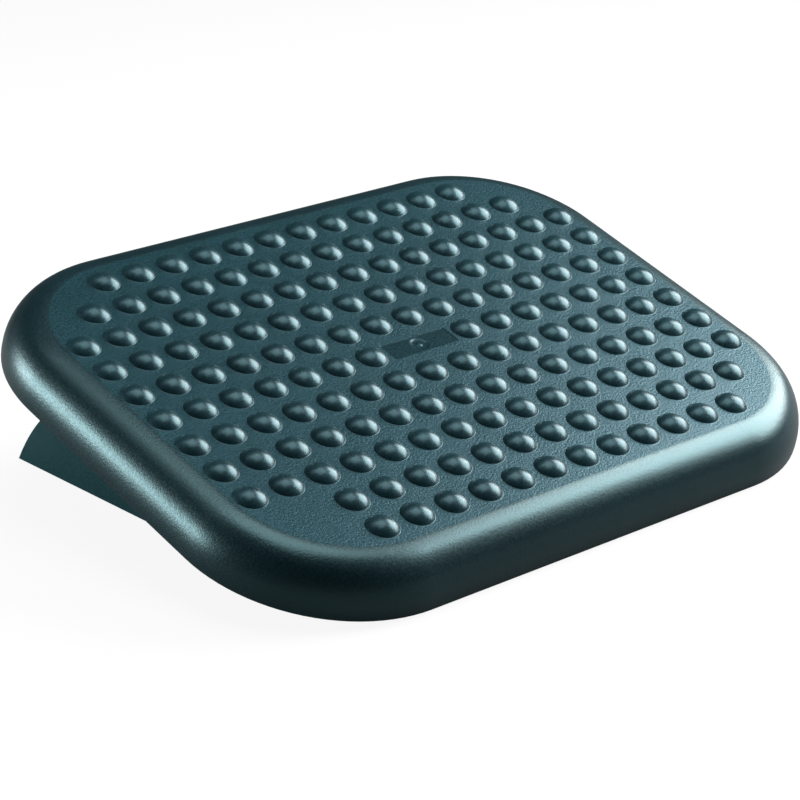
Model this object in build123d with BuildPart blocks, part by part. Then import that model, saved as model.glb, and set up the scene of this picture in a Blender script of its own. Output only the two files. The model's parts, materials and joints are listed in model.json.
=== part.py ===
from build123d import *
import os
from math import asin, atan2, cos, degrees, floor, radians, sin, sqrt

# Massage footrest: a moulded tray covered with round bumps, which rocks on a steel axle carried by a low
# moulded stand. At rest the tray's front edge is down on the floor. Millimetres, X to the right, Y to the
# rear, Z up, origin on the floor under the middle of the whole footrest.

# Tray, outside
tray_width = 446.0
tray_depth = 340.0
tray_corner = 95.0
tray_height = 31.5
tray_wall = 3.5
rim_run = 24.0
rim_drop = 29.0
rest_tilt = 17.0

# Bumps on the tray's top
bump_diameter = 20.0
bump_height = 5.0
bump_pitch_x = 25.0
bump_pitch_y = 26.0
bump_root = 0.5

# Moulding gate in a shallow panel at the middle of the top
panel_length = 50.0
panel_width = 15.0
panel_depth = 0.7
panel_corner = 1.0
gate_diameter = 11.0
gate_depth = 0.5
gate_nub_diameter = 4.5

# Ribs under the tray
rib_thickness = 2.5
rib_depth = 8.0
rib_pitch_x = 50.0
rib_pitch_y = 52.0

# Hinge under the tray
pivot_back = 50.0
axle_diameter = 10.0
axle_chamfer = 0.8
bush_wall = 2.0
knuckle_wall = 4.0
hinge_length = 24.0
hinge_flange = 4.0
hinge_flange_reach = 22.0
hinge_screw_reach = 16.0
hinge_screw_length = 12.0
washer_thickness = 1.0
washer_diameter = 22.0
cap_wall = 3.0
cap_depth = 5.0

# Stand
stand_width = 342.0
cheek_depth = 18.0
cheek_wall = 3.5
pivot_boss_radius = 13.0
neck_half_length = 30.0
heel_radius = 148.0
heel_lean = 63.0394
heel_reach = 174.8
toe_reach = 95.0
toe_height = 10.0
toe_round = 4.0
cheek_rib_thickness = 3.0
cheek_rib_setback = 4.0
cross_wall = 3.5
rear_cross_lip = 12.0
front_cross_length = 55.0

# Screws
screw_diameter = 4.0
screw_head_diameter = 8.0
screw_head_height = 2.8
screw_slot_width = 1.2
screw_slot_length = 4.6
screw_slot_depth = 1.4
cross_screw_length = 14.0
pillar_wall = 2.6
pillar_inset = 13.0
heel_screw_drop = 20.0
slope_screw_from_toe = 26.0
slope_screw_spacing = 19.0

# Rubber feet, front pads and level stops
foot_diameter = 12.0
foot_thickness = 3.0
foot_proud = 0.8
foot_end_margin = 26.0
foot_seat_wall = 2.0
foot_seat_height = 7.0
stem_diameter = 5.0
stem_length = 6.0
pad_diameter = 14.0
pad_spread = 220.0
pad_boss_depth = 26.5
pad_rim_reach = 6.0
rim_lift = 0.6
stop_height = 5.8
stop_diameter = 12.0
stop_boss_diameter = 14.0
stop_setback = 16.0

# Clearances
running_gap = 0.05
seat_gap = 0.05
axial_gap = 0.2
under_gap = 1.5
stop_gap = 0.4
blind_margin = 1.5

# Values that follow from the sizes above
tilt_sin = sin(radians(rest_tilt))
tilt_cos = cos(radians(rest_tilt))
pivot_drop = tray_wall + rib_depth + under_gap + pivot_boss_radius
hinge_top = tray_wall + rib_depth + under_gap
knuckle_radius = axle_diameter / 2 + bush_wall + knuckle_wall
cheek_inner = stand_width / 2 - cheek_depth
hinge_outer = cheek_inner - washer_thickness - axial_gap
flat_width = tray_width - 2 * rim_run
flat_depth = tray_depth - 2 * rim_run
flat_corner = tray_corner - rim_run
pillar_radius = screw_diameter / 2 + pillar_wall
screw_hole_radius = screw_diameter / 2 + seat_gap
stem_hole_radius = stem_diameter / 2 + seat_gap
foot_seat_depth = foot_thickness - foot_proud

# Heights above the floor, with the tray at rest
tray_z = rim_lift + tray_depth / 2 * tilt_sin + tray_height * tilt_cos
pivot_z = tray_z + pivot_back * tilt_sin - pivot_drop * tilt_cos
level_rim_z = pivot_z + pivot_drop - tray_height
stand_top = level_rim_z - stop_gap - stop_height

# Heel's arc, through the rear corner on the floor and the crest that leans forward above it
heel_rise = stand_top - foot_proud
heel_chord = sqrt(heel_lean**2 + heel_rise**2)
heel_sink = sqrt(heel_radius**2 - (heel_chord / 2) ** 2)
heel_centre_drop = heel_sink * heel_lean / heel_chord - (foot_proud + stand_top) / 2

# Distances in Y from the tray's middle: pivot, centre and top of the heel's arc, level stops, front of the rim
pivot_from_tray = pivot_back * tilt_cos + pivot_drop * tilt_sin
heel_centre_from_tray = heel_reach - heel_lean / 2 - heel_sink * heel_rise / heel_chord
crest_from_tray = heel_reach - heel_lean
stop_from_tray = crest_from_tray - stop_setback
rim_front_reach = sqrt((rim_run * tilt_cos) ** 2 + (rim_drop * tilt_sin) ** 2)
front_from_tray = rim_drop * tilt_sin - (tray_depth / 2 - rim_run) * tilt_cos - rim_front_reach

# Places in Y, with the whole footrest centred on the origin
tray_y = -(front_from_tray + heel_reach) / 2
pivot_y = tray_y + pivot_from_tray
stop_y = tray_y + stop_from_tray
crest_y = tray_y + crest_from_tray
heel_centre_y = tray_y + heel_centre_from_tray
heel_y = tray_y + heel_reach
toe_y = pivot_y - toe_reach

tray_plane = Plane(origin=(0, tray_y, tray_z), x_dir=(1, 0, 0), z_dir=(0, -tilt_sin, tilt_cos))
sides = ((-1, "left"), (1, "right"))


def tray_section(x):
    """Plane across the tray at x, with local x along the tray's depth and local y along its normal."""
    return Plane(tray_plane.from_local_coords((x, 0, 0)), x_dir=tray_plane.y_dir, z_dir=tray_plane.x_dir)


def finish_piece(piece, name):
    """Label a finished piece and write it to its own file."""
    piece.part.label = name
    export_step(piece.part, f"parts/{name}.step")


def on_flat(x, y):
    """True where a whole bump at x, y stands on the flat of the top, inside its rounded corners."""
    reach_x = max(abs(x) - (flat_width / 2 - flat_corner), 0)
    reach_y = max(abs(y) - (flat_depth / 2 - flat_corner), 0)
    return sqrt(reach_x**2 + reach_y**2) + bump_diameter / 2 <= flat_corner


def on_panel(x, y):
    """True where a bump at x, y would stand on the gate panel."""
    return abs(x) < (panel_length + bump_diameter) / 2 and abs(y) < (panel_width + bump_diameter) / 2


def bump_places():
    """Bump centres on the top. One place near the front left corner is left plain."""
    columns = floor((flat_width - bump_diameter) / bump_pitch_x) + 1
    rows = floor((flat_depth - bump_diameter) / bump_pitch_y) + 1
    places = []
    for row in range(rows):
        for column in range(columns):
            x = (column - (columns - 1) / 2) * bump_pitch_x
            y = (row - (rows - 1) / 2) * bump_pitch_y
            plain_place = row == 1 and column == 1
            if on_flat(x, y) and not on_panel(x, y) and not plain_place:
                places.append((x, y, -bump_root))
    return places


def add_screw(length):
    """Pan-head screw with a cross recess, its head's seat at the local origin and its shank along +Z."""
    Cylinder(screw_diameter / 2, length, align=(Align.CENTER, Align.CENTER, Align.MIN))
    Cylinder(screw_head_diameter / 2, screw_head_height, align=(Align.CENTER, Align.CENTER, Align.MAX))
    with Locations((0, 0, -screw_head_height)):
        slot_align = (Align.CENTER, Align.CENTER, Align.MIN)
        Box(screw_slot_length, screw_slot_width, screw_slot_depth, align=slot_align, mode=Mode.SUBTRACT)
        Box(screw_slot_width, screw_slot_length, screw_slot_depth, align=slot_align, mode=Mode.SUBTRACT)


os.makedirs("parts", exist_ok=True)

# Section through the tray's rim, measured out from the middle of a corner
rim_middle = (tray_corner - rim_run, -rim_drop)
with BuildSketch() as rim_profile:
    with BuildLine():
        outer_round = EllipticalCenterArc(rim_middle, rim_run, rim_drop, start_angle=0, arc_size=90)
        inner_round = EllipticalCenterArc(
            rim_middle, rim_run - tray_wall, rim_drop - tray_wall, start_angle=0, arc_size=90
        )
        Polyline(
            (tray_corner, -rim_drop),
            (tray_corner, -tray_height),
            (tray_corner - tray_wall, -tray_height),
            (tray_corner - tray_wall, -rim_drop),
        )
        Line(outer_round @ 1, inner_round @ 1)
    make_face()

# Tray shell: rim, top plate, ribs, bosses and bumps in one moulding
hinge_screw_x = hinge_outer - hinge_length / 2
hinge_screw_places = []
for side, word in sides:
    for reach in (-hinge_screw_reach, hinge_screw_reach):
        hinge_screw_places.append((side * hinge_screw_x, pivot_back + reach))
pad_y = -(flat_depth / 2 + pad_rim_reach - pad_diameter / 2)
pad_places = [(side * pad_spread / 2, pad_y) for side, word in sides]
stop_x = (stand_width - cheek_depth) / 2
stop_boss_places = [(side * stop_x, pivot_back + stop_y - pivot_y) for side, word in sides]
bump_sphere = ((bump_diameter / 2) ** 2 + bump_height**2) / (2 * bump_height)
bump_latitude = degrees(asin((bump_sphere - bump_height - bump_root) / bump_sphere))

with BuildPart(tray_plane) as tray_shell:
    for quarter in range(4):
        along_x = cos(radians(90 * quarter))
        along_y = sin(radians(90 * quarter))
        corner_x = (along_x - along_y) * (tray_width / 2 - tray_corner)
        corner_y = (along_x + along_y) * (tray_depth / 2 - tray_corner)
        corner = tray_plane.from_local_coords((corner_x, corner_y, 0))
        outward = tray_plane.x_dir * along_x + tray_plane.y_dir * along_y
        onward = tray_plane.x_dir * along_y - tray_plane.y_dir * along_x
        straight = tray_depth if quarter % 2 == 0 else tray_width
        with BuildSketch(Plane(corner, x_dir=outward, z_dir=onward)):
            add(rim_profile.sketch_local)
        extrude(amount=straight - 2 * tray_corner)
        with BuildSketch(Plane(corner, x_dir=outward, z_dir=onward)):
            add(rim_profile.sketch_local)
        revolve(axis=Axis(corner, tray_plane.z_dir), revolution_arc=90)
    with BuildSketch(tray_plane):
        RectangleRounded(flat_width, flat_depth, flat_corner)
    extrude(amount=-tray_wall)
    with BuildSketch(tray_plane.offset(-tray_wall)):
        with GridLocations(rib_pitch_x, 1, floor(flat_width / rib_pitch_x), 1):
            Rectangle(rib_thickness, tray_depth)
        with GridLocations(1, rib_pitch_y, 1, floor(flat_depth / rib_pitch_y)):
            Rectangle(tray_width, rib_thickness)
        RectangleRounded(flat_width, flat_depth, flat_corner, mode=Mode.INTERSECT)
    extrude(amount=-rib_depth)
    with BuildSketch(tray_plane.offset(-tray_wall)):
        with Locations(*hinge_screw_places):
            Circle(pillar_radius)
    extrude(amount=tray_wall - hinge_top)
    with BuildSketch(tray_plane.offset(-tray_wall)):
        with Locations(*pad_places):
            Circle(pad_diameter / 2)
    extrude(amount=-pad_boss_depth)
    with BuildSketch(tray_plane.offset(-tray_wall)):
        with Locations(*stop_boss_places):
            Circle(stop_boss_diameter / 2)
    extrude(amount=tray_wall - tray_height)
    with BuildSketch(tray_plane.offset(-hinge_top)):
        with Locations(*hinge_screw_places):
            Circle(screw_hole_radius)
    extrude(amount=hinge_screw_length - hinge_flange + seat_gap, mode=Mode.SUBTRACT)
    with BuildSketch(tray_plane.offset(-tray_wall - pad_boss_depth)):
        with Locations(*pad_places):
            Circle(stem_hole_radius)
    extrude(amount=stem_length + blind_margin, mode=Mode.SUBTRACT)
    with BuildSketch(tray_plane):
        RectangleRounded(panel_length, panel_width, panel_corner)
    extrude(amount=-panel_depth, mode=Mode.SUBTRACT)
    with BuildSketch(tray_plane.offset(-panel_depth)):
        Circle(gate_diameter / 2)
        Circle(gate_nub_diameter / 2, mode=Mode.SUBTRACT)
    extrude(amount=-gate_depth, mode=Mode.SUBTRACT)
    with Locations(*bump_places()):
        bump_align = (Align.CENTER, Align.CENTER, Align.MIN)
        Sphere(bump_sphere, arc_size1=bump_latitude, arc_size2=90, align=bump_align)
finish_piece(tray_shell, "tray_shell")

# Front pads: rubber buttons behind the front rim, cut level with the floor
for (pad_x, pad_back), (side, word) in zip(pad_places, sides):
    with BuildPart() as front_pad:
        with BuildSketch(tray_plane.offset(-tray_wall - pad_boss_depth)):
            with Locations((pad_x, pad_back)):
                Circle(pad_diameter / 2)
        extrude(amount=-tray_height)
        split(bisect_by=Plane.XY, keep=Keep.TOP)
        with BuildSketch(tray_plane.offset(-tray_wall - pad_boss_depth)):
            with Locations((pad_x, pad_back)):
                Circle(stem_diameter / 2)
        extrude(amount=stem_length)
    finish_piece(front_pad, f"front_pad_{word}")

# Hinge blocks screwed up under the tray, each with a plain bush for the axle
for side, word in sides:
    block_start = hinge_outer - hinge_length if side > 0 else -hinge_outer
    with BuildPart() as hinge_block:
        with BuildSketch(tray_section(block_start)):
            with Locations((pivot_back, -pivot_drop)):
                Circle(knuckle_radius)
            with Locations((pivot_back, -hinge_top)):
                Rectangle(2 * knuckle_radius, pivot_drop - hinge_top, align=(Align.CENTER, Align.MAX))
                Rectangle(2 * hinge_flange_reach, hinge_flange, align=(Align.CENTER, Align.MAX))
            with Locations((pivot_back, -pivot_drop)):
                Circle(axle_diameter / 2 + bush_wall + seat_gap, mode=Mode.SUBTRACT)
        extrude(amount=hinge_length)
        with BuildSketch(tray_plane.offset(-hinge_top)):
            with Locations(*hinge_screw_places):
                Circle(screw_hole_radius)
        extrude(amount=-hinge_flange, mode=Mode.SUBTRACT)
    finish_piece(hinge_block, f"hinge_block_{word}")
    with BuildPart() as pivot_bush:
        with BuildSketch(tray_section(block_start)):
            with Locations((pivot_back, -pivot_drop)):
                Circle(axle_diameter / 2 + bush_wall)
                Circle(axle_diameter / 2 + running_gap, mode=Mode.SUBTRACT)
        extrude(amount=hinge_length)
    finish_piece(pivot_bush, f"pivot_bush_{word}")

with BuildPart(tray_plane.offset(-hinge_top - hinge_flange)) as hinge_screws:
    with Locations(*hinge_screw_places):
        add_screw(hinge_screw_length)
finish_piece(hinge_screws, "hinge_screws")

# Side view of the stand, local x along Y and local y along Z
neck_front_y = pivot_y - neck_half_length
slope_angle = atan2(stand_top - toe_height, neck_front_y - toe_y)
with BuildSketch() as pivot_neck:
    with Locations((pivot_y, pivot_z)):
        Circle(pivot_boss_radius)
    with Locations((pivot_y, stand_top)):
        Rectangle(2 * neck_half_length, cheek_wall, align=(Align.CENTER, Align.MAX))
    make_hull()

with BuildSketch() as stand_side:
    with BuildLine():
        heel_middle_z = (foot_proud + stand_top) / 2
        heel_middle_y = heel_centre_y + sqrt(heel_radius**2 - (heel_middle_z + heel_centre_drop) ** 2)
        ThreePointArc((heel_y, foot_proud), (heel_middle_y, heel_middle_z), (crest_y, stand_top))
        Polyline(
            (crest_y, stand_top),
            (neck_front_y, stand_top),
            (toe_y, toe_height),
            (toe_y, foot_proud),
            (heel_y, foot_proud),
        )
    make_face()
    fillet(stand_side.vertices().group_by(Axis.X)[0], toe_round)
    add(pivot_neck.sketch_local)

with BuildSketch() as stand_hollow:
    add(stand_side.sketch_local)
    offset(amount=-cheek_wall, mode=Mode.REPLACE)

# Screw places in the side view: two in the heel, two along the front slope
cross_screw_places = []
for height in (foot_proud + pillar_inset, stand_top - heel_screw_drop):
    along = sqrt((heel_radius - pillar_inset) ** 2 - (height + heel_centre_drop) ** 2)
    cross_screw_places.append((heel_centre_y + along, height))
for along in (slope_screw_from_toe, slope_screw_from_toe + slope_screw_spacing):
    slope_y = toe_y + along * cos(slope_angle) + pillar_inset * sin(slope_angle)
    slope_z = toe_height + along * sin(slope_angle) - pillar_inset * cos(slope_angle)
    cross_screw_places.append((slope_y, slope_z))

# Cheeks: the two sides of the stand, shallow mouldings open to the inside
foot_places_y = (toe_y + foot_end_margin, heel_y - foot_end_margin)
for side, word in sides:
    outer_x = side * stand_width / 2
    middle_x = side * (stand_width / 2 - cheek_depth / 2)
    foot_places = [(middle_x, y) for y in foot_places_y]
    with BuildPart() as cheek:
        with BuildSketch(Plane.YZ.offset(outer_x)):
            add(stand_side.sketch_local)
        extrude(amount=-side * cheek_depth)
        with BuildSketch(Plane.YZ.offset(outer_x - side * cheek_wall)):
            add(stand_hollow.sketch_local)
        extrude(amount=-side * (cheek_depth - cheek_wall), mode=Mode.SUBTRACT)
        with BuildSketch(Plane.YZ.offset(outer_x - side * cheek_wall)):
            with Locations((pivot_y, 0), ((pivot_y + crest_y) / 2, 0)):
                Rectangle(cheek_rib_thickness, 2 * pivot_z)
            add(stand_side.sketch_local, mode=Mode.INTERSECT)
        extrude(amount=-side * (cheek_depth - cheek_wall - cheek_rib_setback))
        with BuildSketch(Plane.YZ.offset(outer_x - side * cheek_wall)):
            with Locations((pivot_y, pivot_z)):
                Circle(pivot_boss_radius)
            with Locations(*cross_screw_places):
                Circle(pillar_radius)
        extrude(amount=-side * (cheek_depth - cheek_wall))
        with BuildSketch(Plane.XY.offset(foot_proud)):
            with Locations(*foot_places):
                Circle(foot_diameter / 2 + foot_seat_wall)
        extrude(amount=foot_seat_height)
        with BuildSketch(Plane.XY.offset(foot_proud)):
            with Locations(*foot_places):
                Circle(foot_diameter / 2 + seat_gap)
        extrude(amount=foot_seat_depth, mode=Mode.SUBTRACT)
        with BuildSketch(Plane.XY.offset(foot_proud)):
            with Locations(*foot_places):
                Circle(stem_hole_radius)
        extrude(amount=foot_seat_height, mode=Mode.SUBTRACT)
        with BuildSketch(Plane.XY.offset(stand_top)):
            with Locations((middle_x, stop_y)):
                Circle(stem_hole_radius)
        extrude(amount=-cheek_wall, mode=Mode.SUBTRACT)
        with BuildSketch(Plane.YZ.offset(outer_x)):
            with Locations((pivot_y, pivot_z)):
                Circle(axle_diameter / 2 + seat_gap)
        extrude(amount=-side * cheek_depth, mode=Mode.SUBTRACT)
        with BuildSketch(Plane.YZ.offset(side * cheek_inner)):
            with Locations(*cross_screw_places):
                Circle(screw_hole_radius)
        extrude(amount=side * (cross_screw_length - cross_wall + seat_gap), mode=Mode.SUBTRACT)
    finish_piece(cheek, f"cheek_{word}")

    # Rubber foot at each end of the cheek, pushed into its seat by a stem
    for foot_y, end in zip(foot_places_y, ("front", "rear")):
        with BuildPart() as foot:
            with BuildSketch(Plane.XY):
                with Locations((middle_x, foot_y)):
                    Circle(foot_diameter / 2)
            extrude(amount=foot_thickness)
            with BuildSketch(Plane.XY.offset(foot_thickness)):
                with Locations((middle_x, foot_y)):
                    Circle(stem_diameter / 2)
            extrude(amount=foot_seat_height - foot_seat_depth)
        finish_piece(foot, f"foot_{end}_{word}")

    # Rubber stop on top of the cheek, which meets a boss under the tray when the tray is level
    with BuildPart() as level_stop:
        with BuildSketch(Plane.XY.offset(stand_top)):
            with Locations((middle_x, stop_y)):
                Circle(stop_diameter / 2)
        extrude(amount=stop_height)
        with BuildSketch(Plane.XY.offset(stand_top)):
            with Locations((middle_x, stop_y)):
                Circle(stem_diameter / 2)
        extrude(amount=-stem_length)
    finish_piece(level_stop, f"level_stop_{word}")

    # Thrust washer between the cheek's boss and the hinge block
    with BuildPart() as thrust_washer:
        with BuildSketch(Plane.YZ.offset(side * cheek_inner)):
            with Locations((pivot_y, pivot_z)):
                Circle(washer_diameter / 2)
                Circle(axle_diameter / 2 + running_gap, mode=Mode.SUBTRACT)
        extrude(amount=-side * washer_thickness)
    finish_piece(thrust_washer, f"thrust_washer_{word}")

    # Push-on cap that keeps the axle in the cheek
    with BuildPart() as axle_cap:
        with BuildSketch(Plane.YZ.offset(outer_x)):
            with Locations((pivot_y, pivot_z)):
                Circle(axle_diameter / 2 + cap_wall)
        extrude(amount=side * (cap_depth + cap_wall))
        fillet(axle_cap.faces().sort_by(Axis.X)[-1 if side > 0 else 0].edges(), cap_wall / 2)
        with BuildSketch(Plane.YZ.offset(outer_x)):
            with Locations((pivot_y, pivot_z)):
                Circle(axle_diameter / 2 + seat_gap)
        extrude(amount=side * (cap_depth + seat_gap), mode=Mode.SUBTRACT)
    finish_piece(axle_cap, f"axle_cap_{word}")

# Axle through both cheeks and both hinge blocks
axle_half = stand_width / 2 + cap_depth
with BuildPart() as axle:
    with BuildSketch(Plane.YZ.offset(-axle_half)):
        with Locations((pivot_y, pivot_z)):
            Circle(axle_diameter / 2)
    extrude(amount=2 * axle_half)
    chamfer(axle.edges().filter_by(GeomType.CIRCLE), axle_chamfer)
finish_piece(axle, "axle")

# Cross members: channels between the cheeks, flush with their edges, with closed ends
cross_members = (
    ("rear_cross_member", crest_y - rear_cross_lip, heel_y + cross_wall),
    ("front_cross_member", toe_y - cross_wall, toe_y + front_cross_length),
)
for name, from_y, to_y in cross_members:
    with BuildSketch() as end_plate:
        add(stand_side.sketch_local)
        with Locations((from_y, 0)):
            Rectangle(to_y - from_y, 2 * stand_top, align=(Align.MIN, Align.CENTER), mode=Mode.INTERSECT)
    with BuildSketch() as channel_space:
        add(stand_side.sketch_local)
        offset(amount=-cross_wall, mode=Mode.REPLACE)
        with Locations((from_y, 0)):
            Rectangle(to_y - from_y, 2 * stand_top, align=(Align.MIN, Align.CENTER), mode=Mode.INTERSECT)
    with BuildPart() as cross_member:
        with BuildSketch(Plane.YZ.offset(-cheek_inner)):
            add(end_plate.sketch_local)
        extrude(amount=2 * cheek_inner)
        with BuildSketch(Plane.YZ.offset(cross_wall - cheek_inner)):
            add(channel_space.sketch_local)
        extrude(amount=2 * (cheek_inner - cross_wall), mode=Mode.SUBTRACT)
        with BuildSketch(Plane.YZ.offset(-cheek_inner)):
            with Locations(*cross_screw_places):
                Circle(screw_hole_radius)
        extrude(amount=2 * cheek_inner, mode=Mode.SUBTRACT)
    finish_piece(cross_member, name)

# Screws through the cross members' ends into the cheeks' pillars
with BuildPart() as cross_screws:
    for side, word in sides:
        seat = Plane((side * (cheek_inner - cross_wall), 0, 0), x_dir=(0, 1, 0), z_dir=(side, 0, 0))
        for screw_y, screw_z in cross_screw_places:
            with Locations(seat.location * Location((screw_y, side * screw_z, 0))):
                add_screw(cross_screw_length)
finish_piece(cross_screws, "cross_screws")
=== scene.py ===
import json
import math

import bpy
from mathutils import Matrix, Vector
from mathutils.geometry import delaunay_2d_cdt


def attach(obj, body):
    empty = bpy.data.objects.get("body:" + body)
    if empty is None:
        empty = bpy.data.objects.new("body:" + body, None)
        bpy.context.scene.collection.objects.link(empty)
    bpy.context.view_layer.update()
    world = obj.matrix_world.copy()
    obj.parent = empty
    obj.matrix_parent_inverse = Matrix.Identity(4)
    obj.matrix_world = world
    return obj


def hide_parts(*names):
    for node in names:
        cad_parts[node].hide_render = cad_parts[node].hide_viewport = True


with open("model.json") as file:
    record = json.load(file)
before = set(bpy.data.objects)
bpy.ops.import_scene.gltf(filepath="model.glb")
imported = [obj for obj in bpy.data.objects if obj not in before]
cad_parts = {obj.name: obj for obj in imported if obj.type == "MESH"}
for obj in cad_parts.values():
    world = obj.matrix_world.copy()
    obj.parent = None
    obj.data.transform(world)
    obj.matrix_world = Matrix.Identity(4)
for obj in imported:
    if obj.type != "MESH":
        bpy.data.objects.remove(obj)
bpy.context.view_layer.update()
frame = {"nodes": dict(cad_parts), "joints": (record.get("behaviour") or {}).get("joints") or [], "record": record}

MM = 0.001

# Tray sizes in metres, as in the solid, with small rounds added at the rim's edge and the bumps' feet
tray_width = 446 * MM
tray_depth = 340 * MM
tray_corner = 95 * MM
tray_height = 31.5 * MM
tray_wall = 3.5 * MM
rim_run = 24 * MM
rim_drop = 29 * MM
rim_edge = 0.6 * MM
flat_width = tray_width - 2 * rim_run
flat_depth = tray_depth - 2 * rim_run
flat_corner = tray_corner - rim_run

bump_radius = 10 * MM
bump_height = 5 * MM
bump_foot_round = 0.35 * MM
bump_pitch_x = 25 * MM
bump_pitch_y = 26 * MM

# Row and column, from the front left, of the one bump place that stays plain
plain_place = (1, 1)

# Each bump caps a ball: the ball's radius, how deep its middle lies, and where the foot meets the flat
bump_ball = (bump_radius**2 + bump_height**2) / (2 * bump_height)
bump_sunk = bump_ball - bump_height
bump_foot = math.sqrt((bump_ball + bump_foot_round) ** 2 - (bump_sunk + bump_foot_round) ** 2)

# Panel and gate mark at the middle of the top. The panel is shallower and the mark wider than in the solid
panel_length = 50 * MM
panel_width = 15 * MM
panel_depth = 0.4 * MM
panel_corner = 1.2 * MM
gate_radius = 6.5 * MM
gate_depth = 0.45 * MM
gate_nub_radius = 2.4 * MM
gate_nub_height = 0.4 * MM
gate_wall_steepness = 1.6
gate_nub_fullness = 1.5

# Ribs, bosses and posts under the tray
rib_thickness = 2.5 * MM
rib_depth = 8 * MM
rib_pitch_x = 50 * MM
rib_pitch_y = 52 * MM
rib_end_gap = 3 * MM
boss_radius = 4.6 * MM
boss_depth = 9.5 * MM
boss_x = 139.8 * MM
boss_reach = 16 * MM
pad_boss_radius = 7 * MM
pad_boss_depth = 26.5 * MM
pad_x = 110 * MM
pad_y = -145 * MM
stop_boss_radius = 7 * MM
stop_boss_x = 162 * MM
stop_boss_y = 90.3 * MM
post_root = 0.6 * tray_wall

# Where the hinge's axle lies in the tray, behind its middle and below its top
pivot_back = 50 * MM
pivot_drop = 26 * MM

# Steps of the meshes, and how close two corners lie to share a point, in space and in a plane
weld = 1e-4 * MM
plane_weld = 1e-8
corner_steps = 24
rim_steps = 16
edge_steps = 4
bump_sides = 32
bump_foot_steps = 3
bump_cap_steps = 9
gate_sides = 48
gate_dish_steps = 12
gate_nub_steps = 8
cove_steps = 8

# Photograph's camera
camera_place = Vector((-1001.5, -1132.7, 615.6)) * MM
camera_target = Vector((-50.3, -49.0, 68.4)) * MM
camera_roll = math.radians(-0.27)
camera_lens = 121.5
camera_sensor = 36

# Plastics: how far colour and roughness stray, how fine the clouds are and how much of the mottle is grain
mottling = 0.25
roughness_sway = 0.05
cloud_scale = 22
grain_share = 0.6

# Range that most of a noise's values fill, and where the two ends of a ramp lie in it
noise_low = 0.3
noise_high = 0.7
ramp_low = 0.35
ramp_high = 0.65

# Studio in metres: a white floor with a low round wall, and dim air over it. The floor's white is what it
# shows of itself to the camera and in gloss, and its shades are what takes the lamps' light
floor_radius = 4.5
cove_radius = 0.8
wall_height = 1.8
floor_sides = 96
floor_white = 0.9
floor_mirrored = 0.05
floor_shown = 0.85
floor_lit = 0.2
air_colour = (0.8, 0.9, 1.0)
air_strength = 0.02

# Where the tray lies at rest, from the hinge
hinge = frame["joints"][0]
rest_tilt = math.radians(-hinge["range_deg"][0])
tray_turn = Matrix.Rotation(rest_tilt, 4, "X")
tray_middle = Vector(hinge["pos_m"]) - tray_turn @ Vector((0, pivot_back, -pivot_drop))
tray_matrix = Matrix.Translation(tray_middle) @ tray_turn

UP = Vector((0, 0, 1))

# Finishes of the tray, in the order of its materials
GRAINED = 0
SATIN = 1
POLISHED = 2
SMOOTH = 3


def place_key(place):
    """A place in whole welding steps, the same for corners that share a point."""
    return tuple(round(value / weld) for value in place)


class Surface:
    """Faces with a chosen normal at each corner. Corners at the same place share one point."""

    def __init__(self):
        self.points = []
        self.places = {}
        self.faces = []
        self.normals = []
        self.slots = []
        self.slot = GRAINED

    def point(self, place):
        """Number of the point at a place, made if it is new."""
        key = place_key(place)
        if key not in self.places:
            self.places[key] = len(self.points)
            self.points.append(Vector(place))
        return self.places[key]

    def face(self, corners):
        """Add a face from (place, normal) corners, turned so that it faces along its normals."""
        kept = []
        for place, normal in corners:
            index = self.point(place)
            if index not in [other for other, _ in kept]:
                kept.append((index, normal))
        if len(kept) < 3:
            return
        first, second, third = (self.points[index] for index, _ in kept[:3])
        facing = (second - first).cross(third - first)
        if facing.dot(sum((normal for _, normal in kept), Vector())) < 0:
            kept.reverse()
        self.faces.append([index for index, _ in kept])
        self.slots.append(self.slot)
        self.normals.extend(normal for _, normal in kept)

    def strip(self, first_row, second_row, closed=True):
        """Faces between two rows of (place, normal) corners."""
        count = len(first_row)
        for step in range(count if closed else count - 1):
            after = (step + 1) % count
            self.face([first_row[step], first_row[after], second_row[after], second_row[step]])

    def fan(self, row, tip):
        """Triangles from a closed row of corners to one tip."""
        for step in range(len(row)):
            self.face([row[step], row[(step + 1) % len(row)], tip])

    def build(self, name, matrix):
        """Mesh object of all the faces, moved by a matrix."""
        turn = matrix.to_3x3()
        mesh = bpy.data.meshes.new(name)
        mesh.from_pydata([matrix @ place for place in self.points], [], self.faces)
        mesh.polygons.foreach_set("use_smooth", [True] * len(mesh.polygons))
        mesh.polygons.foreach_set("material_index", self.slots)
        mesh.normals_split_custom_set([turn @ normal for normal in self.normals])
        mesh.update()
        piece = bpy.data.objects.new(name, mesh)
        bpy.context.scene.collection.objects.link(piece)
        return piece


def rounded_loop(length, width, radius, steps):
    """Points of a rounded rectangle, each with its outward direction, counterclockwise."""
    loop = []
    for quarter in range(4):
        side_x = 1 if quarter in (0, 3) else -1
        side_y = 1 if quarter in (0, 1) else -1
        middle = Vector((side_x * (length / 2 - radius), side_y * (width / 2 - radius), 0))
        for step in range(steps + 1):
            angle = math.pi / 2 * (quarter + step / steps)
            outward = Vector((math.cos(angle), math.sin(angle), 0))
            loop.append((middle + radius * outward, outward))
    return loop


def swept_row(loop, out, height, normal_out, normal_up):
    """One row of corners: the loop moved out and up, with its normals turned the same way."""
    row = []
    for place, outward in loop:
        normal = (normal_out * outward + normal_up * UP).normalized()
        row.append((place + out * outward + height * UP, normal))
    return row


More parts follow.
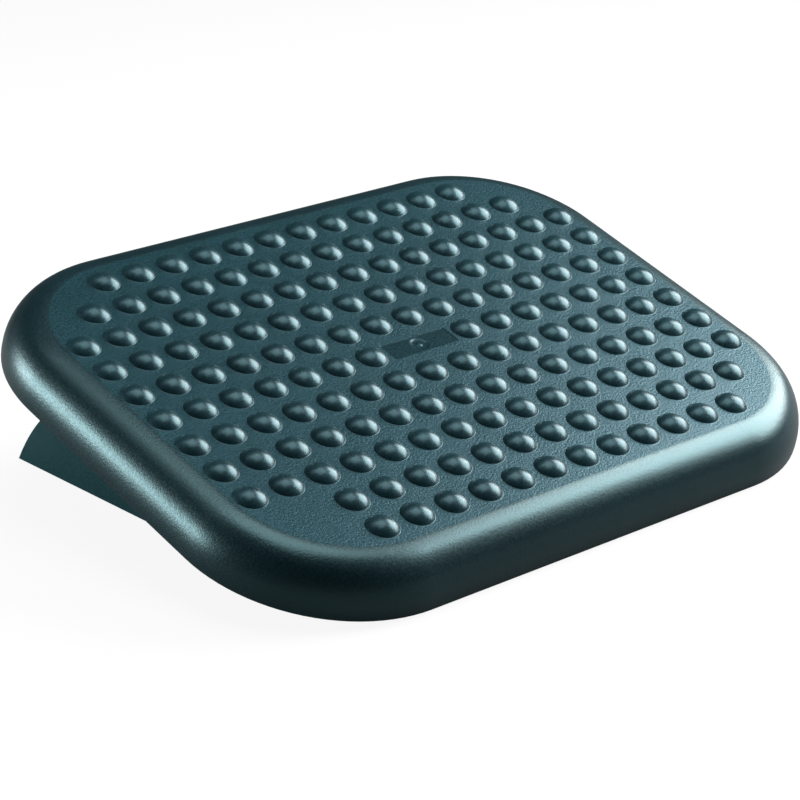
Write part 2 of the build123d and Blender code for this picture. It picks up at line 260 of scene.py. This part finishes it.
def circle_row(middle, radius, height, normal_out, normal_up, sides):
    """One row of corners round a point, with normals leaning outward."""
    row = []
    for side in range(sides):
        angle = 2 * math.pi * side / sides
        outward = Vector((math.cos(angle), math.sin(angle), 0))
        normal = (normal_out * outward + normal_up * UP).normalized()
        row.append((Vector((middle[0], middle[1], height)) + radius * outward, normal))
    return row


def triangles_between(loops):
    """Triangles of the plane that keep the loops' edges, as triples of places at height 0."""
    places = []
    edges = []
    for loop in loops:
        start = len(places)
        places.extend(loop)
        edges.extend((start + step, start + (step + 1) % len(loop)) for step in range(len(loop)))
    flat_places = [place.to_2d() for place in places]
    all_triangles = 0
    made, _, faces, origins, _, _ = delaunay_2d_cdt(flat_places, edges, [], all_triangles, plane_weld)
    made = [places[origin[0]] if origin else Vector((*place, 0)) for place, origin in zip(made, origins)]
    return [[made[corner] for corner in face] for face in faces]


def centre_of(corners):
    """Mean of a face's corners."""
    return sum(corners, Vector()) / len(corners)


def inside_rounded(place, length, width, radius):
    """True inside a rounded rectangle."""
    reach_x = max(abs(place.x) - (length / 2 - radius), 0)
    reach_y = max(abs(place.y) - (width / 2 - radius), 0)
    return math.hypot(reach_x, reach_y) < radius


def inside_panel(place, out):
    """True inside the panel's outline, moved out by a length."""
    return inside_rounded(place, panel_length + 2 * out, panel_width + 2 * out, panel_corner + out)


def bump_places():
    """Bump centres on the flat top, with the middle panel and one front left place left plain."""
    columns = math.floor((flat_width - 2 * bump_radius) / bump_pitch_x) + 1
    rows = math.floor((flat_depth - 2 * bump_radius) / bump_pitch_y) + 1
    places = []
    for row in range(rows):
        for column in range(columns):
            x = (column - (columns - 1) / 2) * bump_pitch_x
            y = (row - (rows - 1) / 2) * bump_pitch_y
            reach_x = max(abs(x) - (flat_width / 2 - flat_corner), 0)
            reach_y = max(abs(y) - (flat_depth / 2 - flat_corner), 0)
            on_flat = math.hypot(reach_x, reach_y) + bump_radius <= flat_corner
            on_panel = abs(x) < panel_length / 2 + bump_radius and abs(y) < panel_width / 2 + bump_radius
            if on_flat and not on_panel and (row, column) != plain_place:
                places.append(Vector((x, y, 0)))
    return places


def arc_steps(count):
    """Even steps from 0 to a quarter turn."""
    return [math.pi / 2 * step / count for step in range(count + 1)]


def rim_rows(loop):
    """Rows from the flat's edge over the rim, round its lower edge and up inside to the underside."""
    rows = []
    for angle in arc_steps(rim_steps):
        across, up = math.sin(angle), math.cos(angle)
        rows.append(swept_row(loop, rim_run * across, rim_drop * (up - 1), across / rim_run, up / rim_drop))
    for angle in arc_steps(edge_steps):
        across, down = math.cos(angle), math.sin(angle)
        out = rim_run - rim_edge * (1 - across)
        rows.append(swept_row(loop, out, -tray_height + rim_edge * (1 - down), across, -down))
    for angle in arc_steps(edge_steps):
        inward, down = math.sin(angle), math.cos(angle)
        out = rim_run - tray_wall + rim_edge * (1 - inward)
        rows.append(swept_row(loop, out, -tray_height + rim_edge * (1 - down), -inward, -down))
    inner_run, inner_drop = rim_run - tray_wall, rim_drop - tray_wall
    for angle in arc_steps(rim_steps):
        across, up = math.cos(angle), math.sin(angle)
        height = inner_drop * up - rim_drop
        rows.append(swept_row(loop, inner_run * across, height, -across / inner_run, -up / inner_drop))
    return rows


def bump_rows(middle):
    """Rows from a bump's rounded foot up its cap, without the tip."""
    lean = math.atan2(bump_foot, bump_sunk + bump_foot_round)
    rows = []
    for step in range(bump_foot_steps + 1):
        angle = lean * step / bump_foot_steps
        radius = bump_foot - bump_foot_round * math.sin(angle)
        height = bump_foot_round * (1 - math.cos(angle))
        rows.append(circle_row(middle, radius, height, math.sin(angle), math.cos(angle), bump_sides))
    for step in range(1, bump_cap_steps):
        angle = lean * (1 - step / bump_cap_steps)
        out, up = math.sin(angle), math.cos(angle)
        rows.append(circle_row(middle, bump_ball * out, bump_ball * up - bump_sunk, out, up, bump_sides))
    return rows


def panel_rows():
    """Rows of the middle panel's rounded step, from the flat down to its floor."""
    half = panel_depth / 2
    rows = []
    for sign in (1, -1):
        for angle in arc_steps(edge_steps):
            turn = angle if sign > 0 else math.pi / 2 - angle
            out = sign * half * (1 - math.sin(turn))
            height = -half + sign * half * math.cos(turn)
            loop = rounded_loop(panel_length, panel_width, panel_corner, edge_steps)
            rows.append(swept_row(loop, out, height, -math.sin(turn), math.cos(turn)))
    return rows


def gate_rows():
    """Rows of the round gate mark: a dished ring with a low nub in its middle."""
    rows = []
    for step in range(gate_dish_steps + 1):
        share = step / gate_dish_steps
        radius = gate_radius + (gate_nub_radius - gate_radius) * share
        fall = math.sin(math.pi / 2 * min(share * gate_wall_steepness, 1)) ** 2
        rows.append((radius, -panel_depth - gate_depth * fall))
    for step in range(1, gate_nub_steps):
        share = step / gate_nub_steps
        radius = gate_nub_radius * (1 - share)
        rise = math.sin(math.pi / 2 * share) ** gate_nub_fullness
        rows.append((radius, -panel_depth - gate_depth + gate_nub_height * rise))
    rings = []
    for index, (radius, height) in enumerate(rows):
        before = rows[max(index - 1, 0)]
        after = rows[min(index + 1, len(rows) - 1)]
        run, rise = after[0] - before[0], after[1] - before[1]
        rings.append(circle_row((0, 0), radius, height, rise, -run, gate_sides))
    return rings


def add_rows(surface, rows):
    """Closed strips between each row of corners and the next."""
    for first_row, second_row in zip(rows, rows[1:]):
        surface.strip(first_row, second_row)


def add_top(surface, loop):
    """Flat top with its bumps, middle panel and gate mark."""
    bumps = [(middle, bump_rows(middle)) for middle in bump_places()]
    panel = panel_rows()
    gate = gate_rows()
    holes = [[place for place, _ in rows[0]] for _, rows in bumps]
    step = panel_depth / 2
    loops = [[place for place, _ in loop], [place for place, _ in panel[0]], *holes]
    for corners in triangles_between(loops):
        middle = centre_of(corners)
        on_flat = inside_rounded(middle, flat_width, flat_depth, flat_corner)
        in_bump = any((middle - place).length < bump_foot for place, _ in bumps)
        if on_flat and not inside_panel(middle, step) and not in_bump:
            surface.face([(place, UP) for place in corners])
    surface.slot = POLISHED
    for middle, rows in bumps:
        add_rows(surface, rows)
        surface.fan(rows[-1], (middle + bump_height * UP, UP))
    surface.slot = SMOOTH
    add_rows(surface, panel)
    add_rows(surface, gate)
    surface.fan(gate[-1], (Vector((0, 0, -panel_depth - gate_depth + gate_nub_height)), UP))
    sunk = panel_depth * UP
    loops = [[place + sunk for place, _ in panel[-1]], [place + sunk for place, _ in gate[0]]]
    for corners in triangles_between(loops):
        middle = centre_of(corners)
        if inside_panel(middle, -step) and middle.length > gate_radius:
            surface.face([(place - sunk, UP) for place in corners])
    surface.slot = GRAINED


def rib_strips():
    """Stiffening ribs under the tray, as (low x, low y, high x, high y)."""
    strips = []
    count_x = math.floor(flat_width / rib_pitch_x)
    count_y = math.floor(flat_depth / rib_pitch_y)
    for column in range(count_x):
        x = (column - (count_x - 1) / 2) * rib_pitch_x
        past = max(abs(x) - (flat_width / 2 - flat_corner), 0)
        reach = flat_depth / 2 - flat_corner + math.sqrt(flat_corner**2 - past**2) - rib_end_gap
        strips.append((x - rib_thickness / 2, -reach, x + rib_thickness / 2, reach))
    for row in range(count_y):
        y = (row - (count_y - 1) / 2) * rib_pitch_y
        past = max(abs(y) - (flat_depth / 2 - flat_corner), 0)
        reach = flat_width / 2 - flat_corner + math.sqrt(flat_corner**2 - past**2) - rib_end_gap
        strips.append((-reach, y - rib_thickness / 2, reach, y + rib_thickness / 2))
    return strips


def boss_places():
    """Screw bosses of the hinge, as (x, y)."""
    return [(side * boss_x, pivot_back + reach) for side in (-1, 1) for reach in (-boss_reach, boss_reach)]


def underside_depth(place, strips):
    """How far the tray's underside, ribs and bosses reach below the top at a place."""
    if any(math.hypot(place.x - x, place.y - y) < boss_radius for x, y in boss_places()):
        return tray_wall + boss_depth
    for low_x, low_y, high_x, high_y in strips:
        if low_x < place.x < high_x and low_y < place.y < high_y:
            return tray_wall + rib_depth
    return tray_wall


def add_underside(surface, loop):
    """Underside of the flat with its ribs and screw bosses, and walls where the depth changes."""
    strips = rib_strips()
    loops = [[place for place, _ in loop]]
    for low_x, low_y, high_x, high_y in strips:
        corners = ((low_x, low_y, 0), (high_x, low_y, 0), (high_x, high_y, 0), (low_x, high_y, 0))
        loops.append([Vector(corner) for corner in corners])
    for x, y in boss_places():
        loops.append([place for place, _ in circle_row((x, y), boss_radius, 0, 1, 0, bump_sides)])
    edges = {}
    for corners in triangles_between(loops):
        middle = centre_of(corners)
        if not inside_rounded(middle, flat_width, flat_depth, flat_corner):
            continue
        depth = underside_depth(middle, strips)
        surface.face([(place - depth * UP, -UP) for place in corners])
        for step in range(3):
            first, second = corners[step], corners[(step + 1) % 3]
            key = frozenset((place_key(first), place_key(second)))
            edges.setdefault(key, []).append((depth, first, second, middle))
    for sides in edges.values():
        if len(sides) == 2 and abs(sides[0][0] - sides[1][0]) > weld:
            (shallow, first, second, open_side), (deep, _, _, _) = sorted(sides, key=lambda side: side[0])
            along = (second - first).normalized()
            across = Vector((along.y, -along.x, 0))
            if across.dot(open_side - first) < 0:
                across = -across
            corners = ((first, shallow), (second, shallow), (second, deep), (first, deep))
            surface.face([(place - depth * UP, across) for place, depth in corners])


def add_post(surface, x, y, radius, top, bottom):
    """Closed round post under the tray."""
    upper = circle_row((x, y), radius, top, 1, 0, bump_sides)
    lower = circle_row((x, y), radius, bottom, 1, 0, bump_sides)
    surface.strip(upper, lower)
    surface.fan([(place, UP) for place, _ in upper], (Vector((x, y, top)), UP))
    surface.fan([(place, -UP) for place, _ in lower], (Vector((x, y, bottom)), -UP))


def make_tray(*finishes):
    """The whole tray as one mesh, with its finishes in the order of their slots."""
    surface = Surface()
    loop = rounded_loop(flat_width, flat_depth, flat_corner, corner_steps)
    surface.slot = SATIN
    add_rows(surface, rim_rows(loop))
    surface.slot = GRAINED
    add_top(surface, loop)
    add_underside(surface, loop)
    for side in (-1, 1):
        add_post(surface, side * pad_x, pad_y, pad_boss_radius, -post_root, -tray_wall - pad_boss_depth)
        add_post(surface, side * stop_boss_x, stop_boss_y, stop_boss_radius, -post_root, -tray_height)
    piece = surface.build("bumped_tray", tray_matrix)
    for finish in finishes:
        piece.data.materials.append(finish)
    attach(piece, "tray")
    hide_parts("tray_shell")


def new_material(name):
    """A node material, with its node tree and its shader."""
    material = bpy.data.materials.new(name)
    material.use_nodes = True
    tree = material.node_tree
    shader = tree.nodes["Principled BSDF"]
    return material, tree, shader


def noise(tree, scale, detail, stretch=(1, 1, 1)):
    """Noise over the piece's own coordinates."""
    place = tree.nodes.new("ShaderNodeTexCoord")
    mapping = tree.nodes.new("ShaderNodeMapping")
    mapping.inputs["Scale"].default_value = stretch
    texture = tree.nodes.new("ShaderNodeTexNoise")
    texture.inputs["Scale"].default_value = scale
    texture.inputs["Detail"].default_value = detail
    tree.links.new(place.outputs["Object"], mapping.inputs["Vector"])
    tree.links.new(mapping.outputs["Vector"], texture.inputs["Vector"])
    return texture.outputs["Fac"]


def ramp(tree, value, low, high):
    """Colours or greys between two ends, by a value."""
    node = tree.nodes.new("ShaderNodeValToRGB")
    node.color_ramp.elements[0].position = ramp_low
    node.color_ramp.elements[0].color = (*low, 1)
    node.color_ramp.elements[1].position = ramp_high
    node.color_ramp.elements[1].color = (*high, 1)
    tree.links.new(value, node.inputs["Fac"])
    return node.outputs["Color"]


def spread(tree, value, low, high):
    """A number between two ends, by a noise."""
    node = tree.nodes.new("ShaderNodeMapRange")
    node.inputs["From Min"].default_value = noise_low
    node.inputs["From Max"].default_value = noise_high
    node.inputs["To Min"].default_value = low
    node.inputs["To Max"].default_value = high
    tree.links.new(value, node.inputs["Value"])
    return node.outputs["Result"]


def blend(tree, first, second, share):
    """Two values mixed. The share goes to the second."""
    node = tree.nodes.new("ShaderNodeMix")
    node.inputs["Factor"].default_value = share
    tree.links.new(first, node.inputs["A"])
    tree.links.new(second, node.inputs["B"])
    return node.outputs["Result"]


def bump(tree, shader, height, distance):
    """Fine relief on a shader, of the given depth in metres."""
    node = tree.nodes.new("ShaderNodeBump")
    node.inputs["Distance"].default_value = distance
    tree.links.new(height, node.inputs["Height"])
    tree.links.new(node.outputs["Normal"], shader.inputs["Normal"])


def moulded_plastic(name, colour, roughness, gloss, tint, skin, grain_scale, grain_depth):
    """Moulded plastic: a dark body with a tinted gloss, a share of clear skin and a spark-eroded grain."""
    material, tree, shader = new_material(name)
    darker = tuple((1 - mottling) * value for value in colour)
    lighter = tuple((1 + mottling) * value for value in colour)
    grain = noise(tree, grain_scale, detail=2)
    mottle = blend(tree, noise(tree, cloud_scale, detail=3), grain, grain_share)
    smoothest, roughest = roughness - roughness_sway, roughness + roughness_sway
    tree.links.new(ramp(tree, mottle, darker, lighter), shader.inputs["Base Color"])
    tree.links.new(spread(tree, grain, smoothest, roughest), shader.inputs["Roughness"])
    shader.inputs["Specular IOR Level"].default_value = gloss
    shader.inputs["Specular Tint"].default_value = (*tint, 1)
    shader.inputs["Coat Weight"].default_value = skin
    shader.inputs["Coat Roughness"].default_value = roughness
    bump(tree, shader, grain, grain_depth)
    return material


def black_rubber():
    """Dull black rubber of the feet, pads and stops."""
    material, tree, shader = new_material("black_rubber")
    clouds = noise(tree, scale=90, detail=3)
    shades = ramp(tree, clouds, low=(0.006, 0.006, 0.007), high=(0.014, 0.014, 0.015))
    tree.links.new(shades, shader.inputs["Base Color"])
    roughness = spread(tree, noise(tree, scale=400, detail=2), low=0.68, high=0.85)
    tree.links.new(roughness, shader.inputs["Roughness"])
    bump(tree, shader, noise(tree, scale=1800, detail=2), distance=0.08 * MM)
    return material


def plated_steel():
    """Plated steel of the axle and screws, with fine marks drawn along X."""
    material, tree, shader = new_material("plated_steel")
    drawn = noise(tree, scale=500, detail=3, stretch=(0.03, 1, 1))
    shades = ramp(tree, drawn, low=(0.42, 0.43, 0.45), high=(0.62, 0.63, 0.65))
    tree.links.new(shades, shader.inputs["Base Color"])
    roughness = spread(tree, drawn, low=0.26, high=0.42)
    tree.links.new(roughness, shader.inputs["Roughness"])
    shader.inputs["Metallic"].default_value = 1.0
    bump(tree, shader, drawn, distance=0.02 * MM)
    return material


def acetal():
    """Cream plastic of the bushes and washers."""
    material, tree, shader = new_material("acetal")
    clouds = noise(tree, scale=120, detail=2)
    shades = ramp(tree, clouds, low=(0.62, 0.60, 0.54), high=(0.72, 0.70, 0.64))
    tree.links.new(shades, shader.inputs["Base Color"])
    roughness = spread(tree, noise(tree, scale=300, detail=2), low=0.35, high=0.5)
    tree.links.new(roughness, shader.inputs["Roughness"])
    bump(tree, shader, noise(tree, scale=2500, detail=2), distance=0.02 * MM)
    return material


def paint(piece, material):
    """Give a whole piece one material."""
    piece.data.materials.clear()
    piece.data.materials.append(material)


def softbox(name, azimuth, elevation, distance, wide, tall, brightness):
    """Soft lamp that faces the tray: angles and apparent size in degrees, brightness in whites."""
    around, up = math.radians(azimuth), math.radians(elevation)
    toward = Vector((math.cos(up) * math.cos(around), math.cos(up) * math.sin(around), math.sin(up)))
    lamp = bpy.data.lights.new(name, "AREA")
    lamp.shape = "RECTANGLE"
    lamp.size = 2 * distance * math.tan(math.radians(wide / 2))
    lamp.size_y = 2 * distance * math.tan(math.radians(tall / 2))
    # An area lamp looks as bright as its energy over four times its area
    lamp.energy = 4 * lamp.size * lamp.size_y * brightness
    piece = bpy.data.objects.new(name, lamp)
    bpy.context.scene.collection.objects.link(piece)
    piece.location = tray_middle + distance * toward
    piece.rotation_euler = toward.to_track_quat("Z", "Y").to_euler()
    piece.visible_camera = False


def matt_shade(tree):
    """The floor's own grey: pale to the camera, where it takes the shadow, and dark to the lamps' light."""
    path = tree.nodes.new("ShaderNodeLightPath")
    shade = tree.nodes.new("ShaderNodeMapRange")
    shade.inputs["To Min"].default_value = floor_lit
    shade.inputs["To Max"].default_value = floor_shown
    tree.links.new(path.outputs["Is Camera Ray"], shade.inputs["Value"])
    return shade.outputs["Result"]


def seen_share(tree):
    """Share of its own white that the floor shows: to the camera, and in gloss and through glass."""
    path = tree.nodes.new("ShaderNodeLightPath")
    second = tree.nodes.new("ShaderNodeMath")
    second.operation = "MAXIMUM"
    tree.links.new(path.outputs["Is Glossy Ray"], second.inputs[0])
    tree.links.new(path.outputs["Is Transmission Ray"], second.inputs[1])
    mirrored = tree.nodes.new("ShaderNodeMath")
    mirrored.operation = "MULTIPLY"
    tree.links.new(second.outputs[0], mirrored.inputs[0])
    mirrored.inputs[1].default_value = floor_mirrored
    share = tree.nodes.new("ShaderNodeMath")
    share.operation = "MULTIPLY_ADD"
    tree.links.new(path.outputs["Is Camera Ray"], share.inputs[0])
    share.inputs[1].default_value = floor_white
    tree.links.new(mirrored.outputs[0], share.inputs[2])
    return share.outputs[0]


def studio_white():
    """The floor's material: its own white to the camera and in gloss, and matt to the light."""
    material = bpy.data.materials.new("studio_white")
    material.use_nodes = True
    tree = material.node_tree
    tree.nodes.clear()
    output = tree.nodes.new("ShaderNodeOutputMaterial")
    matt = tree.nodes.new("ShaderNodeBsdfDiffuse")
    tree.links.new(matt_shade(tree), matt.inputs["Color"])
    glow = tree.nodes.new("ShaderNodeEmission")
    glow.inputs["Color"].default_value = (1, 1, 1, 1)
    seen = tree.nodes.new("ShaderNodeMixShader")
    tree.links.new(seen_share(tree), seen.inputs["Fac"])
    tree.links.new(matt.outputs["BSDF"], seen.inputs[1])
    tree.links.new(glow.outputs["Emission"], seen.inputs[2])
    tree.links.new(seen.outputs["Shader"], output.inputs["Surface"])
    return material


def make_floor():
    """White floor that runs up into a low round wall."""
    surface = Surface()
    rows = [circle_row((0, 0), floor_radius, 0, 0, 1, floor_sides)]
    for angle in arc_steps(cove_steps)[1:]:
        out, up = math.sin(angle), math.cos(angle)
        radius = floor_radius + cove_radius * out
        rows.append(circle_row((0, 0), radius, cove_radius * (1 - up), -out, up, floor_sides))
    rows.append(circle_row((0, 0), floor_radius + cove_radius, wall_height, -1, 0, floor_sides))
    surface.fan(rows[0], (Vector((0, 0, 0)), UP))
    add_rows(surface, rows)
    floor = surface.build("studio_floor", Matrix())
    floor.data.materials.append(studio_white())


def make_air():
    """Dim, slightly blue air over the floor."""
    world = bpy.data.worlds.new("dim_air")
    bpy.context.scene.world = world
    world.use_nodes = True
    air = world.node_tree.nodes["Background"]
    air.inputs["Color"].default_value = (*air_colour, 1)
    air.inputs["Strength"].default_value = air_strength


def make_camera():
    """Camera at the photograph's place."""
    lens = bpy.data.cameras.new("photo_camera")
    lens.sensor_width = camera_sensor
    lens.lens = camera_lens
    camera = bpy.data.objects.new("photo_camera", lens)
    bpy.context.scene.collection.objects.link(camera)
    camera.location = camera_place
    aim = (camera_target - camera_place).to_track_quat("-Z", "Y").to_matrix()
    camera.rotation_euler = (aim @ Matrix.Rotation(camera_roll, 3, "Z")).to_euler()
    bpy.context.scene.camera = camera


deck_plastic = moulded_plastic(
    "deck_plastic", colour=(0.0066, 0.0250, 0.0312), roughness=0.37, gloss=0.57, tint=(0.22, 0.78, 1.0),
    skin=0.0, grain_scale=750, grain_depth=0.26 * MM)
satin_plastic = moulded_plastic(
    "satin_plastic", colour=(0.0042, 0.0165, 0.0210), roughness=0.33, gloss=0.68, tint=(0.45, 0.88, 0.94),
    skin=0.05, grain_scale=800, grain_depth=0.09 * MM)
polished_plastic = moulded_plastic(
    "polished_plastic", colour=(0.0079, 0.0288, 0.0360), roughness=0.31, gloss=0.42, tint=(0.37, 0.87, 1.0),
    skin=0.15, grain_scale=800, grain_depth=0.04 * MM)
smooth_plastic = moulded_plastic(
    "smooth_plastic", colour=(0.0052, 0.0205, 0.0255), roughness=0.29, gloss=0.32, tint=(0.28, 0.80, 1.0),
    skin=0.0, grain_scale=800, grain_depth=0.01 * MM)
cheek_plastic = moulded_plastic(
    "cheek_plastic", colour=(0.0066, 0.0340, 0.0390), roughness=0.42, gloss=0.40, tint=(0.25, 0.85, 1.0),
    skin=0.0, grain_scale=800, grain_depth=0.05 * MM)
slot_materials = {
    "tray_plastic": deck_plastic,
    "stand_plastic": cheek_plastic,
    "rubber": black_rubber(),
    "steel": plated_steel(),
    "bush_plastic": acetal(),
}
make_tray(deck_plastic, satin_plastic, polished_plastic, smooth_plastic)
for subpart in frame["record"]["subparts"]:
    paint(frame["nodes"][subpart["node"]], slot_materials[subpart["material_slot"]])

softbox("right_key", azimuth=-12, elevation=32, distance=1.3, wide=43, tall=38, brightness=10.5)
softbox("left_strip", azimuth=140, elevation=10.7, distance=1.6, wide=36, tall=14, brightness=13)
softbox("overhead", azimuth=0, elevation=86, distance=1.5, wide=38, tall=38, brightness=3.4)
softbox("rear_top", azimuth=130, elevation=63, distance=1.5, wide=24, tall=20, brightness=1)
make_floor()
make_air()
make_camera()

view_settings = bpy.context.scene.view_settings
view_settings.view_transform = "Standard"
